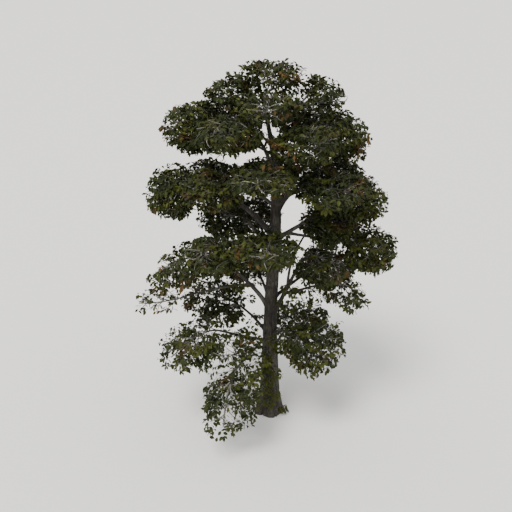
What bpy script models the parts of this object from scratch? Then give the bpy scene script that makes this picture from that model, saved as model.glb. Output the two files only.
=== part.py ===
"""A sassafras tree, rooted in level ground: a trunk, its main boughs and its masses of foliage.

Metres, +Z up, the origin at the middle of the trunk's flat cut at ground level. Bearings are in
degrees, anticlockwise from +X seen from above, and a rise is the angle above level.
"""

import math

import bmesh
import bpy
import numpy as np
from mathutils import Matrix

# The trunk: heights with its radius, and heights with how far it leans along +X
TRUNK_TOP = 12.4
TRUNK_TAPER = ((0.0, 0.360), (1.9, 0.325), (3.8, 0.250), (7.6, 0.200), (8.6, 0.165),
               (9.8, 0.110), (11.0, 0.075), (TRUNK_TOP, 0.030))
TRUNK_LEAN = ((0.0, 0.0), (4.0, 0.0), (7.6, 0.18), (9.5, 0.14), (11.0, -0.10), (TRUNK_TOP, -0.45))
LEAN_SOFTNESS = 0.5
FLARE_SPREAD = 0.22
FLARE_HEIGHT = 0.55
ROOT_LOBES = 5
ROOT_LOBE_DEPTH = 0.10
ROOT_LOBE_TURN = 28.0
TRUNK_SIDES = 12
TRUNK_RINGS = 15
RING_CROWDING = 1.6

# Each mass of foliage: bearing and distance of its middle from the trunk's foot, height, half its
# length outward, half its breadth, half its thickness, and the rise of its long axis
MASSES = {
    "foliage_top_middle": (0, 0.10, 12.58, 1.20, 1.10, 0.56, -8),
    "foliage_top_left": (180, 1.25, 12.12, 1.20, 1.05, 0.55, -22),
    "foliage_top_right": (0, 1.62, 12.02, 1.00, 1.00, 0.55, -20),
    "foliage_top_front": (265, 1.45, 11.80, 1.20, 1.15, 0.55, 0),
    "foliage_shoulder_left": (180, 2.50, 10.90, 1.28, 1.20, 0.88, 0),
    "foliage_shoulder_front_left": (232, 2.15, 11.00, 1.30, 1.15, 0.65, 0),
    "foliage_shoulder_front_right": (300, 2.05, 10.70, 1.30, 1.20, 0.68, 0),
    "foliage_shoulder_right": (0, 2.25, 10.60, 1.10, 1.20, 0.88, -12),
    "foliage_shoulder_back_right": (55, 2.20, 10.80, 1.30, 1.20, 0.75, 0),
    "foliage_shoulder_back_left": (125, 2.30, 10.95, 1.30, 1.20, 0.70, 0),
    "foliage_upper_left_outer": (182, 3.28, 8.72, 1.08, 1.25, 0.90, -20),
    "foliage_upper_left_front": (215, 2.30, 9.12, 1.30, 1.15, 0.68, 0),
    "foliage_upper_left_back": (150, 2.40, 8.85, 1.30, 1.20, 0.72, 0),
    "foliage_upper_front": (262, 2.40, 9.75, 1.40, 1.15, 0.50, 0),
    "foliage_upper_right_front": (320, 2.40, 9.20, 1.30, 1.20, 0.68, 0),
    "foliage_upper_right_outer": (357, 2.90, 8.55, 1.18, 1.25, 0.85, -20),
    "foliage_upper_right_back": (35, 2.55, 8.90, 1.30, 1.20, 0.72, 0),
    "foliage_upper_back": (90, 2.60, 8.65, 1.40, 1.30, 0.60, 0),
    "foliage_middle_right": (352, 2.02, 7.55, 1.15, 1.20, 0.68, 0),
    "foliage_middle_right_outer": (355, 3.42, 6.72, 1.12, 1.20, 0.85, -15),
    "foliage_middle_right_back": (38, 2.85, 7.00, 1.20, 1.20, 0.72, 0),
    "foliage_middle_front": (266, 2.50, 7.50, 1.50, 1.15, 0.52, 0),
    "foliage_middle_left_front": (225, 2.50, 7.10, 1.40, 1.15, 0.68, 0),
    "foliage_middle_left_back": (145, 1.85, 7.30, 1.20, 1.05, 0.62, 0),
    "foliage_middle_back": (105, 2.60, 7.15, 1.40, 1.15, 0.60, 0),
    "foliage_lower_left_outer": (185, 3.10, 6.02, 1.15, 1.20, 0.62, -28),
    "foliage_lower_left_tip": (188, 3.97, 4.85, 0.92, 0.80, 0.42, -5),
    "foliage_lower_left_back": (145, 2.40, 4.02, 1.25, 1.05, 0.82, 0),
    "foliage_lower_right": (345, 1.90, 6.15, 1.02, 1.10, 0.68, 0),
    "foliage_lower_right_outer": (358, 2.62, 5.05, 0.95, 1.00, 0.55, -18),
    "foliage_lower_right_back": (40, 3.00, 5.25, 1.20, 1.20, 0.70, 0),
    "foliage_lower_back": (105, 2.60, 5.20, 1.40, 1.20, 0.75, 0),
    "foliage_low_left": (200, 2.85, 3.32, 1.20, 1.20, 0.66, -22),
    "foliage_low_front_left": (232, 2.00, 3.48, 1.00, 0.85, 0.52, -10),
    "foliage_low_right": (322, 1.88, 3.50, 1.08, 1.12, 0.98, -10),
    "foliage_low_back": (65, 2.60, 2.72, 1.30, 1.15, 0.60, -5),
    "foliage_skirt_front": (243, 2.95, 2.25, 1.30, 0.98, 0.72, -55),
}

# Each main bough: what it grows from, the height on the trunk or the share of the way along the
# parent bough, its rise at the root, its radius at root and tip, and the mass that it carries
BOUGHS = {
    "second_leader": ("trunk", 9.15, 72, 0.080, 0.045, "foliage_shoulder_front_left"),
    "bough_shoulder_right": ("trunk", 9.50, 50, 0.070, 0.045, "foliage_shoulder_right"),
    "bough_upper_left": ("trunk", 6.90, 62, 0.115, 0.060, "foliage_upper_left_outer"),
    "bough_upper_left_front": ("trunk", 8.90, 25, 0.085, 0.050, "foliage_upper_left_front"),
    "bough_upper_right": ("trunk", 8.25, 50, 0.130, 0.060, "foliage_upper_right_outer"),
    "bough_upper_right_front": ("trunk", 8.80, 40, 0.075, 0.045, "foliage_upper_right_front"),
    "bough_upper_right_back": ("trunk", 7.90, 50, 0.085, 0.050, "foliage_upper_right_back"),
    "bough_middle_right": ("trunk", 6.95, 32, 0.095, 0.065, "foliage_middle_right"),
    "bough_middle_right_outer": ("bough_middle_right", 0.5, -10, 0.055, 0.040,
                                 "foliage_middle_right_outer"),
    "bough_middle_left_front": ("trunk", 6.20, 30, 0.085, 0.050, "foliage_middle_left_front"),
    "bough_middle_left_back": ("trunk", 6.50, 30, 0.085, 0.050, "foliage_middle_left_back"),
    "bough_lower_left": ("trunk", 4.15, 66, 0.095, 0.045, "foliage_lower_left_outer"),
    "bough_lower_left_tip": ("bough_lower_left", 0.45, 0, 0.045, 0.028, "foliage_lower_left_tip"),
    "bough_lower_left_back": ("trunk", 3.00, 60, 0.065, 0.040, "foliage_lower_left_back"),
    "bough_lower_right": ("trunk", 3.90, 62, 0.100, 0.050, "foliage_lower_right"),
    "bough_lower_right_outer": ("bough_lower_right", 0.5, 10, 0.055, 0.035, "foliage_lower_right_outer"),
    "bough_middle_right_back": ("bough_lower_right", 0.62, 95, 0.050, 0.035, "foliage_middle_right_back"),
    "bough_lower_right_back": ("trunk", 4.60, 25, 0.070, 0.045, "foliage_lower_right_back"),
    "bough_low_left": ("trunk", 2.95, 20, 0.060, 0.040, "foliage_low_left"),
    "bough_low_right": ("trunk", 3.25, 40, 0.050, 0.035, "foliage_low_right"),
    "bough_skirt_front": ("trunk", 3.30, -5, 0.060, 0.040, "foliage_skirt_front"),
}
BOUGH_BEND = 0.45
BOUGH_POINTS = 5

# The masses whose own stem leaves the trunk: its height there, its rise and its radius
TRUNK_STEMS = {
    "foliage_top_middle": (11.90, 40, 0.035),
    "foliage_top_left": (11.30, 35, 0.040),
    "foliage_top_right": (11.10, 45, 0.040),
    "foliage_top_front": (10.90, 45, 0.040),
    "foliage_shoulder_left": (9.95, 35, 0.050),
    "foliage_shoulder_front_right": (10.00, 35, 0.045),
    "foliage_shoulder_back_right": (10.00, 35, 0.050),
    "foliage_shoulder_back_left": (10.20, 35, 0.050),
    "foliage_upper_left_back": (8.10, 40, 0.070),
    "foliage_upper_front": (9.10, 35, 0.055),
    "foliage_upper_back": (8.00, 35, 0.070),
    "foliage_middle_front": (6.80, 30, 0.070),
    "foliage_middle_back": (6.30, 30, 0.070),
    "foliage_lower_back": (4.40, 35, 0.075),
    "foliage_low_front_left": (2.60, 35, 0.045),
    "foliage_low_back": (2.40, 20, 0.065),
}
STEM_BEND = 0.40
STEM_POINTS = 5
STEM_INNER_END = 0.85
STEM_OUTER_END = 0.70
STEM_LEAD = 0.06
STEM_TIP_RADIUS = 0.038

# Growth of a mass: its twigs, and the blades that each stand for a spray of leaves
TWIGS_PER_MASS = 7
TWIG_BACK_LIMIT = -0.55
TWIG_REACH = 0.97
TWIG_LEAST_REACH = 0.30
TWIG_REACH_STEP = 0.07
TWIG_BEND = 0.40
TWIG_CURVE_POINTS = 9
TWIG_POINTS = 2
TWIG_ROOT_RADIUS = 0.028
TWIG_TIP_RADIUS = 0.022
TWIG_SHORTEST = 0.30
TWIG_TESTED_FROM = 0.25
BLADES_PER_MASS = 12
SIDE_BLADES = ((0.95, 65), (0.95, -65), (0.60, 65), (0.60, -65))
STEM_BLADES = ((0.90, 60), (0.90, -60), (0.65, 65), (0.65, -65), (0.45, 70), (0.45, -70))
BLADE_LENGTH = 1.20
BLADE_BREADTH = 0.66
BLADE_THICKNESS = 0.030
BLADE_WIDEST = 0.60
BLADE_SHARE = 0.75
BLADE_SHARES = (1.0, 0.85, 0.7, 0.58)
BLADE_SINK = 0.015
BLADE_TESTED_FROM = 0.25
BLADE_TEST_ROWS = 6
BLADE_TEST_COLUMNS = 5
BLADE_DROOP = 32.0
STEEPEST = 75.0
BLADE_TRIES = 8
BLADE_FREEDOM = np.array([18.0, 18.0, 65.0])
GOLDEN_ANGLE = 137.508
SECTION_SIDES = {"limb": 6, "stem": 4, "twig": 3}

# Room kept between solids, and between a mass's growth and its neighbours' space or a limb, with
# the distance at which limbs are looked for and one beyond the whole tree
CLEARANCE = 0.0004
SPACE_MARGIN = 0.03
TWIG_ROOM = 0.05
BLADE_ROOM = 0.08
BLADE_APART = 0.09
WOOD_STEP = 0.08
NEARBY = 0.70
BEYOND = 100.0

BARK_COLOUR = (0.085, 0.070, 0.055)
BOUGH_COLOUR = (0.110, 0.095, 0.080)
FOLIAGE_COLOUR = (0.065, 0.085, 0.022)
BARK_ROUGHNESS = 0.90
FOLIAGE_ROUGHNESS = 0.55


def heading(bearing, rise):
    """Unit vector along a bearing, rising by an angle, both in degrees."""
    turn = math.radians(bearing)
    lift = math.radians(rise)
    return np.array([math.cos(turn) * math.cos(lift), math.sin(turn) * math.cos(lift), math.sin(lift)])


def unit(vector):
    return vector / np.linalg.norm(vector)


def bearing_of(vector):
    return math.degrees(math.atan2(vector[1], vector[0]))


def arc(start, start_way, end, bend, count):
    """Points on a curve that leaves start along start_way and bends evenly round to end."""
    knee = start + start_way * bend * np.linalg.norm(end - start)
    along = np.linspace(0.0, 1.0, count)[:, None]
    return (1 - along) ** 2 * start + 2 * along * (1 - along) * knee + along ** 2 * end


def trunk_centre(height):
    """Middle of the trunk at a height: straight leans averaged over a short run, so it bends softly."""
    heights, leans = zip(*TRUNK_LEAN)
    nearby = height + LEAN_SOFTNESS * np.array([-1.0, 0.0, 1.0])
    return np.array([np.mean(np.interp(nearby, heights, leans)), 0.0, height])


def trunk_radius(height):
    """Mean radius at a height: the taper, and the root flare that dies away up the trunk."""
    heights, radii = zip(*TRUNK_TAPER)
    return np.interp(height, heights, radii) + FLARE_SPREAD * math.exp(-height / FLARE_HEIGHT)


def trunk_ring(height, extra):
    """Points round the trunk at a height, with root lobes that fade as the flare does."""
    angles = np.arange(TRUNK_SIDES) * 2 * math.pi / TRUNK_SIDES
    lobes = np.cos(ROOT_LOBES * (angles - math.radians(ROOT_LOBE_TURN)))
    radii = trunk_radius(height) * (1 + ROOT_LOBE_DEPTH * lobes * math.exp(-height / FLARE_HEIGHT)) + extra
    ring = np.zeros((TRUNK_SIDES, 3))
    ring[:, 0] = radii * np.cos(angles)
    ring[:, 1] = radii * np.sin(angles)
    return ring + trunk_centre(height)


def new_object(name, mesh, collection):
    body = bpy.data.objects.new(name, mesh)
    collection.objects.link(body)
    return body


def trunk_mesh(name, extra):
    """A loft of rings, close together at the flare, with a flat cut at the ground and at the tip."""
    heights = TRUNK_TOP * np.linspace(0.0, 1.0, TRUNK_RINGS) ** RING_CROWDING
    form = bmesh.new()
    rings = [[form.verts.new(point) for point in trunk_ring(height, extra)] for height in heights]
    for below, above in zip(rings, rings[1:]):
        for side in range(TRUNK_SIDES):
            after = (side + 1) % TRUNK_SIDES
            form.faces.new((below[side], below[after], above[after], above[side]))
    form.faces.new(reversed(rings[0]))
    form.faces.new(rings[-1])
    mesh = bpy.data.meshes.new(name)
    form.to_mesh(mesh)
    form.free()
    return mesh


def section(name, sides, guides):
    """A closed polygon of unit radius, the section that limbs or twigs are swept with."""
    curve = bpy.data.curves.new(name, "CURVE")
    spline = curve.splines.new("POLY")
    spline.points.add(sides - 1)
    for number, point in enumerate(spline.points):
        angle = -2 * math.pi * number / sides
        point.co = (math.cos(angle), math.sin(angle), 0.0, 1.0)
    spline.use_cyclic_u = True
    guide = new_object(name, curve, guides)
    guide.hide_render = True
    guide.display_type = "WIRE"
    return guide


def swept(name, points, radii, profile, collection):
    """A curve object that carries a section along points, with its radius at each, and flat ends."""
    curve = bpy.data.curves.new(name, "CURVE")
    curve.dimensions = "3D"
    curve.bevel_mode = "OBJECT"
    curve.bevel_object = profile
    curve.use_fill_caps = True
    spline = curve.splines.new("POLY")
    spline.points.add(len(points) - 1)
    for point, place, radius in zip(spline.points, points, radii):
        point.co = (*place, 1.0)
        point.radius = radius
    return new_object(name, curve, collection)


def as_meshes(tubes):
    """Turns swept curves into mesh objects of the same names, with the caps welded on."""
    bodies = []
    depsgraph = bpy.context.evaluated_depsgraph_get()
    for tube in tubes:
        mesh = bpy.data.meshes.new_from_object(tube.evaluated_get(depsgraph))
        form = bmesh.new()
        form.from_mesh(mesh)
        bmesh.ops.remove_doubles(form, verts=form.verts, dist=0.0001)
        form.to_mesh(mesh)
        form.free()
        name = tube.name
        matrix = tube.matrix_world.copy()
        collection = tube.users_collection[0]
        curve = tube.data
        bpy.data.objects.remove(tube)
        bpy.data.curves.remove(curve)
        body = new_object(name, mesh, collection)
        body.matrix_world = matrix
        bodies.append(body)
    return bodies


def cut_clear(body, cutter):
    """Cuts a limb's root back to the surface of what carries it."""
    cut = body.modifiers.new("root_cut", "BOOLEAN")
    cut.operation = "DIFFERENCE"
    cut.solver = "EXACT"
    cut.object = cutter


def bake_modifiers(body):
    """Gives a body the mesh that its modifiers make, and removes them."""
    depsgraph = bpy.context.evaluated_depsgraph_get()
    mesh = bpy.data.meshes.new_from_object(body.evaluated_get(depsgraph))
    body.modifiers.clear()
    body.data = mesh


def mass_frame(name):
    """Middle, unit axes (outward, across, up) and half sizes of a mass's space, an ellipsoid."""
    bearing, distance, height, length, breadth, thickness, rise = MASSES[name]
    outward = heading(bearing, rise)
    across = heading(bearing + 90, 0)
    middle = heading(bearing, 0) * distance + np.array([0.0, 0.0, height])
    return middle, np.array([outward, across, np.cross(outward, across)]), np.array([length, breadth, thickness])


def bough_line(name):
    """Middle line and radii of a bough, from inside its parent to the inner end of its mass."""
    parent, place, rise, root_radius, tip_radius, mass = BOUGHS[name]
    if parent == "trunk":
        root = trunk_centre(place)
    else:
        line = bough_line(parent)[0]
        root = np.array([np.interp(place * (len(line) - 1), range(len(line)), line[:, axis]) for axis in range(3)])
    middle, axes, halves = mass_frame(mass)
    tip = middle - axes[0] * halves[0] * STEM_INNER_END
    line = arc(root, heading(bearing_of(tip - root), rise), tip, BOUGH_BEND, BOUGH_POINTS)
    return line, np.linspace(root_radius, tip_radius, BOUGH_POINTS)


def stem_line(name):
    """Middle line and radii of a mass's stem, on from its bough's tip or out from the trunk."""
    middle, axes, halves = mass_frame(name)
    end = middle + axes[0] * halves[0] * STEM_OUTER_END
    if name in TRUNK_STEMS:
        height, rise, radius = TRUNK_STEMS[name]
        start = trunk_centre(height)
        line = arc(start, heading(bearing_of(middle - start), rise), end, STEM_BEND, STEM_POINTS)
    else:
        bough = next(key for key, row in BOUGHS.items() if row[-1] == name)
        carrier, radii = bough_line(bough)
        radius = radii[-1]
        way = unit(carrier[-1] - carrier[-2])
        start = carrier[-1] + way * CLEARANCE
        onward = arc(start + way * STEM_LEAD, way, end, STEM_BEND, STEM_POINTS)
        line = np.vstack([start, onward])
    return line, np.linspace(radius, STEM_TIP_RADIUS, len(line))


def lengths_along(line):
    return np.append(0.0, np.cumsum(np.linalg.norm(np.diff(line, axis=0), axis=1)))


def points_at(line, distances):
    """Points on a line at distances from its start."""
    lengths = lengths_along(line)
    return np.stack([np.interp(distances, lengths, line[:, axis]) for axis in range(3)], axis=1)


def finely(line, radii):
    """A line's points and radii again, about a WOOD_STEP apart."""
    lengths = lengths_along(line)
    steps = np.linspace(0.0, lengths[-1], int(lengths[-1] / WOOD_STEP) + 2)
    return points_at(line, steps), np.interp(steps, lengths, radii)


def all_wood():
    """Points down the middle of every limb and stem, with their radii and their owners' names."""
    heights = np.arange(0.0, TRUNK_TOP, WOOD_STEP)
    lines = {"trunk": (np.array([trunk_centre(height) for height in heights]),
                       np.array([trunk_radius(height) for height in heights]))}
    lines.update({name: bough_line(name) for name in BOUGHS})
    lines.update({name: stem_line(name) for name in MASSES})
    fine = {name: finely(*line) for name, line in lines.items()}
    points = np.vstack([line for line, radii in fine.values()])
    radii = np.concatenate([radii for line, radii in fine.values()])
    owners = np.concatenate([[name] * len(line) for name, (line, radii) in fine.items()])
    return points, radii, owners


FRAMES = [mass_frame(name) for name in MASSES]
SPACE_MIDDLES = np.array([frame[0] for frame in FRAMES])
SPACE_AXES = np.array([frame[1] for frame in FRAMES])
SPACE_HALVES = np.array([frame[2] for frame in FRAMES])
WOOD_POINTS, WOOD_RADII, WOOD_OWNERS = all_wood()


def blade_axes(way, roll):
    """Length, breadth and thickness directions of a blade that points a way and rolls by an angle."""
    level = unit(np.cross([0.0, 0.0, 1.0], way))
    upward = np.cross(way, level)
    turn = math.radians(roll)
    across = level * math.cos(turn) + upward * math.sin(turn)
    return np.array([way, across, np.cross(way, across)])


def blade_points(place, axes, sizes):
    """Points all over a blade past its root: rows across it, as broad as the kite is there."""
    along = np.linspace(BLADE_TESTED_FROM, 1.0, BLADE_TEST_ROWS)
    breadth = np.interp(along, [0.0, BLADE_WIDEST, 1.0], [0.0, 0.5, 0.0])
    rows, columns = np.meshgrid(along, np.linspace(-1.0, 1.0, BLADE_TEST_COLUMNS), indexing="ij")
    columns = columns * breadth[:, None]
    return place + rows.reshape(-1, 1) * sizes[0] * axes[0] + columns.reshape(-1, 1) * sizes[1] * axes[1]


class Growth:
    """The twigs and blades of one mass, and the room in its space that they have taken."""

    def __init__(self, name):
        self.number = list(MASSES).index(name)
        self.draws = np.random.default_rng(self.number)
        self.middle, self.axes, self.halves = mass_frame(name)
        self.stem = stem_line(name)[0]
        foreign = WOOD_OWNERS != name
        nearby = foreign & (np.linalg.norm(WOOD_POINTS - self.middle, axis=1) < self.halves.max() + NEARBY)
        self.wood_points = WOOD_POINTS[nearby]
        self.wood_radii = WOOD_RADII[nearby]
        self.taken = WOOD_POINTS[~foreign]
        self.twigs = []
        self.blades = []

    def has_room(self, points, room):
        """Whether every point lies in the mass's own space and clear of other limbs and stems.

        A point's depth in a space is 0 at its middle and 1 at its edge. It belongs to the mass
        that it lies deepest in, and the margin keeps two masses apart where their spaces meet.
        """
        offsets = points[:, None, :] - SPACE_MIDDLES
        depths = np.linalg.norm(np.einsum("mij,pmj->pmi", SPACE_AXES, offsets) / SPACE_HALVES, axis=2)
        own = depths[:, self.number]
        others = np.delete(depths, self.number, axis=1).min(axis=1)
        if (own > 1.0).any() or (own + SPACE_MARGIN > others).any():
            return False
        gaps = np.linalg.norm(points[:, None, :] - self.wood_points, axis=2) - self.wood_radii
        return gaps.min(initial=BEYOND) > room

    def is_apart(self, points, room):
        """Whether every point is clear of what this mass has grown so far."""
        return np.linalg.norm(points[:, None, :] - self.taken, axis=2).min() > room

    def furthest_tip(self, aim):
        """The furthest point along an aim that is still in the mass's own space, or None."""
        for share in np.arange(TWIG_REACH, TWIG_LEAST_REACH, -TWIG_REACH_STEP):
            tip = self.middle + (aim * share * self.halves) @ self.axes
            if self.has_room(tip[None], TWIG_ROOM):
                return tip
        return None

    def aims(self):
        """Even directions from the middle: rings from the outer end back, a golden angle apart."""
        numbers = np.arange(TWIGS_PER_MASS)
        forward = 1.0 - (1.0 - TWIG_BACK_LIMIT) * (numbers + 0.5) / TWIGS_PER_MASS
        turns = np.radians(self.draws.uniform(0.0, 360.0) + GOLDEN_ANGLE * numbers)
        spread = np.sqrt(1.0 - forward ** 2)
        return np.stack([forward, spread * np.cos(turns), spread * np.sin(turns)], axis=1)

    def grow_twig(self, tip):
        """A twig that leaves the stem forward at about 45 degrees and bends out towards its tip."""
        stem = finely(self.stem, np.zeros(len(self.stem)))[0]
        ways = np.gradient(stem, axis=0)
        ways /= np.linalg.norm(ways, axis=1)[:, None]
        span = tip - stem
        forward = np.einsum("pi,pi->p", span, ways)
        sideways = np.linalg.norm(span - forward[:, None] * ways, axis=1)
        outside = np.array([not self.has_room(point[None], 0.0) for point in stem])
        root = int(np.argmin(np.abs(forward - sideways) + outside * BEYOND))
        line = arc(stem[root], ways[root], tip, TWIG_BEND, TWIG_CURVE_POINTS)
        length = lengths_along(line)[-1]
        blade = min(BLADE_LENGTH, BLADE_SHARE * length)
        twig = points_at(line, np.linspace(0.0, length - blade, TWIG_POINTS))
        tested = points_at(line, np.arange(TWIG_TESTED_FROM, length - blade, WOOD_STEP))
        if outside[root] or length < TWIG_SHORTEST:
            return
        if len(tested) and not (self.has_room(tested, TWIG_ROOM) and self.is_apart(tested, TWIG_ROOM)):
            return
        self.twigs.append((twig, unit(tip - twig[-1]), blade))

    def grow_blade(self, place, way, length):
        """A blade on a twig, turned about and then tried smaller until it has room, or left out."""
        for share in BLADE_SHARES:
            for _ in range(BLADE_TRIES):
                swing, nod, roll = self.draws.uniform(-1.0, 1.0, 3) * BLADE_FREEDOM
                rise = math.degrees(math.asin(way[2])) + nod
                turned = heading(bearing_of(way) + swing, max(min(rise, STEEPEST), -STEEPEST))
                axes = blade_axes(turned, roll)
                sizes = np.array([length * share, length * share * BLADE_BREADTH, BLADE_THICKNESS])
                points = blade_points(place, axes, sizes)
                if self.is_apart(points, BLADE_APART) and self.has_room(points, BLADE_ROOM):
                    self.blades.append((place, axes, sizes))
                    self.taken = np.vstack([self.taken, points])
                    return

    def grow_side_blades(self, line, places):
        """Blades out from both sides of a twig or the stem, hanging a little."""
        for place, side in places:
            if len(self.blades) >= BLADES_PER_MASS:
                return
            foot = points_at(line, np.array([place * lengths_along(line)[-1]]))[0]
            ahead = unit(line[-1] - line[-2])
            rise = math.degrees(math.asin(ahead[2])) - BLADE_DROOP
            self.grow_blade(foot, heading(bearing_of(ahead) + side, max(rise, -STEEPEST)), BLADE_LENGTH)

    def grow(self):
        """All twigs first, then a blade at each end, then others out from the sides."""
        for aim in self.aims():
            tip = self.furthest_tip(aim)
            if tip is not None:
                self.grow_twig(tip)
        for twig, way, blade in self.twigs:
            self.taken = np.vstack([self.taken, finely(twig, np.zeros(len(twig)))[0]])
        ahead = unit(self.stem[-1] - self.stem[-2])
        self.grow_blade(self.stem[-1] - ahead * BLADE_SINK, ahead, BLADE_LENGTH)
        for twig, way, blade in self.twigs:
            ahead = unit(twig[-1] - twig[-2])
            self.grow_blade(twig[-1] - ahead * BLADE_SINK, way, blade)
        for pair in range(0, len(SIDE_BLADES), 2):
            for twig, way, blade in self.twigs:
                self.grow_side_blades(twig, SIDE_BLADES[pair:pair + 2])
        self.grow_side_blades(self.stem, STEM_BLADES)


def blade_mesh():
    """A kite of eight faces, one metre long, broad and thick, with its root at the origin."""
    form = bmesh.new()
    bmesh.ops.create_uvsphere(form, u_segments=4, v_segments=2, radius=1.0)
    for corner in form.verts:
        x, y, z = corner.co
        corner.co = (BLADE_WIDEST if abs(z) < 0.5 else (1.0 + z) / 2, x / 2, y / 2)
    mesh = bpy.data.meshes.new("blade")
    form.to_mesh(mesh)
    form.free()
    return mesh


def is_closed(mesh):
    form = bmesh.new()
    form.from_mesh(mesh)
    bmesh.ops.triangulate(form, faces=form.faces)
    closed = all(edge.is_manifold for edge in form.edges) and len(form.faces) > 0
    form.free()
    return closed


def keep_largest_piece(mesh):
    """Drops loose scraps and the shells of sealed hollows, which fills them."""
    form = bmesh.new()
    form.from_mesh(mesh)
    unseen = set(form.verts)
    pieces = []
    while unseen:
        front = [unseen.pop()]
        piece = list(front)
        while front:
            corner = front.pop()
            for edge in corner.link_edges:
                other = edge.other_vert(corner)
                if other in unseen:
                    unseen.remove(other)
                    piece.append(other)
                    front.append(other)
        pieces.append(piece)
    pieces.sort(key=len)
    for piece in pieces[:-1]:
        bmesh.ops.delete(form, geom=piece, context="VERTS")
    form.to_mesh(mesh)
    form.free()


def fused(body, sprays, solver):
    """Joins everything in a collection to a body by one union."""
    union = body.modifiers.new("sprays", "BOOLEAN")
    union.operation = "UNION"
    union.operand_type = "COLLECTION"
    union.collection = sprays
    union.solver = solver
    depsgraph = bpy.context.evaluated_depsgraph_get()
    mesh = bpy.data.meshes.new_from_object(body.evaluated_get(depsgraph))
    body.modifiers.clear()
    return mesh


def build_mass(name, blade, sections, parts, trunk_cutter):
    """One mass: its stem, and the twigs and blades that grow from it, joined in one solid."""
    line, radii = stem_line(name)
    stem = as_meshes([swept(name, line, radii, sections["stem"], parts)])[0]
    if name in TRUNK_STEMS:
        cut_clear(stem, trunk_cutter)
        bake_modifiers(stem)
    sprays = bpy.data.collections.new(name + "_sprays")
    bpy.context.scene.collection.children.link(sprays)
    growth = Growth(name)
    growth.grow()
    tubes = []
    for twig, way, blade_length in growth.twigs:
        radii = np.linspace(TWIG_ROOT_RADIUS, TWIG_TIP_RADIUS, len(twig))
        tubes.append(swept(name + "_twig", twig, radii, sections["twig"], sprays))
    as_meshes(tubes)
    for place, axes, sizes in growth.blades:
        body = new_object(name + "_blade", blade, sprays)
        turn = Matrix((axes * sizes[:, None]).T.tolist()).to_4x4()
        body.matrix_world = Matrix.Translation(place.tolist()) @ turn
    mesh = fused(stem, sprays, "EXACT")
    keep_largest_piece(mesh)
    if not is_closed(mesh):
        mesh = fused(stem, sprays, "MANIFOLD")
        keep_largest_piece(mesh)
    stem.data = mesh
    for body in list(sprays.objects):
        bpy.data.objects.remove(body)
    bpy.data.collections.remove(sprays)
    return stem


def finish(body, colour, roughness):
    """Gives a body a material of its own."""
    material = bpy.data.materials.new(body.name + "_finish")
    material.use_nodes = True
    shader = material.node_tree.nodes["Principled BSDF"]
    shader.inputs["Base Color"].default_value = (*colour, 1.0)
    shader.inputs["Roughness"].default_value = roughness
    shader.inputs["Metallic"].default_value = 0.0
    body.data.materials.clear()
    body.data.materials.append(material)


def build_boughs(sections, parts, guides, trunk_cutter):
    """Every main bough, a tapering tube whose root is cut clear of its parent."""
    lines = {name: bough_line(name) for name in BOUGHS}
    tubes = [swept(name, *lines[name], sections["limb"], parts) for name in BOUGHS]
    boughs = as_meshes(tubes)
    parents = {row[0] for row in BOUGHS.values()} - {"trunk"}
    cutters = {"trunk": trunk_cutter}
    for parent in sorted(parents):
        line, radii = lines[parent]
        shape = swept(parent + "_clearance", line, radii + CLEARANCE, sections["limb"], guides)
        cutters[parent] = as_meshes([shape])[0]
    for cutter in cutters.values():
        cutter.hide_render = True
        cutter.display_type = "WIRE"
    for bough in boughs:
        cut_clear(bough, cutters[BOUGHS[bough.name][0]])
        finish(bough, BOUGH_COLOUR, BARK_ROUGHNESS)
    return boughs


def build_tree():
    for leftover in list(bpy.data.objects):
        bpy.data.objects.remove(leftover)
    parts = bpy.data.collections.new("sassafras_tree")
    guides = bpy.data.collections.new("cutters_and_guides")
    bpy.context.scene.collection.children.link(parts)
    bpy.context.scene.collection.children.link(guides)
    foot = new_object("sassafras_tree_foot", None, parts)
    sections = {name: section(name + "_section", sides, guides) for name, sides in SECTION_SIDES.items()}

    trunk = new_object("trunk", trunk_mesh("trunk", 0.0), parts)
    finish(trunk, BARK_COLOUR, BARK_ROUGHNESS)
    trunk_cutter = new_object("trunk_clearance", trunk_mesh("trunk_clearance", CLEARANCE), guides)
    bodies = [trunk] + build_boughs(sections, parts, guides, trunk_cutter)

    blade = blade_mesh()
    for name in MASSES:
        mass = build_mass(name, blade, sections, parts, trunk_cutter)
        finish(mass, FOLIAGE_COLOUR, FOLIAGE_ROUGHNESS)
        bodies.append(mass)
    bpy.data.meshes.remove(blade)
    for body in bodies:
        body.parent = foot


build_tree()
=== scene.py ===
import math

import bpy
import numpy as np
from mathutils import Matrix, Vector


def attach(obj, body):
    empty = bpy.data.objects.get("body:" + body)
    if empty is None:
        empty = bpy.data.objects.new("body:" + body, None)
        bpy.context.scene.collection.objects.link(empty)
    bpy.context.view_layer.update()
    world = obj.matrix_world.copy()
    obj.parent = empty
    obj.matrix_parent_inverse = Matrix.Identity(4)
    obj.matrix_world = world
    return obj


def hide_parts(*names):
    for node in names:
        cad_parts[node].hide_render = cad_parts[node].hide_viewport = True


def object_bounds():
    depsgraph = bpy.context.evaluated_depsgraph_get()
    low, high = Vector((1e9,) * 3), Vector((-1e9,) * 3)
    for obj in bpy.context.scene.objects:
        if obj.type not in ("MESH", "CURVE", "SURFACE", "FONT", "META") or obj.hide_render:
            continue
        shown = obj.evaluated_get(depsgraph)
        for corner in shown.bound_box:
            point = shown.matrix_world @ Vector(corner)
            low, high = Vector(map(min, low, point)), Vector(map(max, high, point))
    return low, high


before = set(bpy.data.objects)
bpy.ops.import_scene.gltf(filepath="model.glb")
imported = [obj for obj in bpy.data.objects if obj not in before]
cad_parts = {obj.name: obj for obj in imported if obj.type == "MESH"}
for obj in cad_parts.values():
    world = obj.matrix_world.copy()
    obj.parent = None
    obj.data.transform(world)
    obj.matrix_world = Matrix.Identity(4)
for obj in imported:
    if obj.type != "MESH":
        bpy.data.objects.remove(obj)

cad_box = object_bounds()


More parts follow.
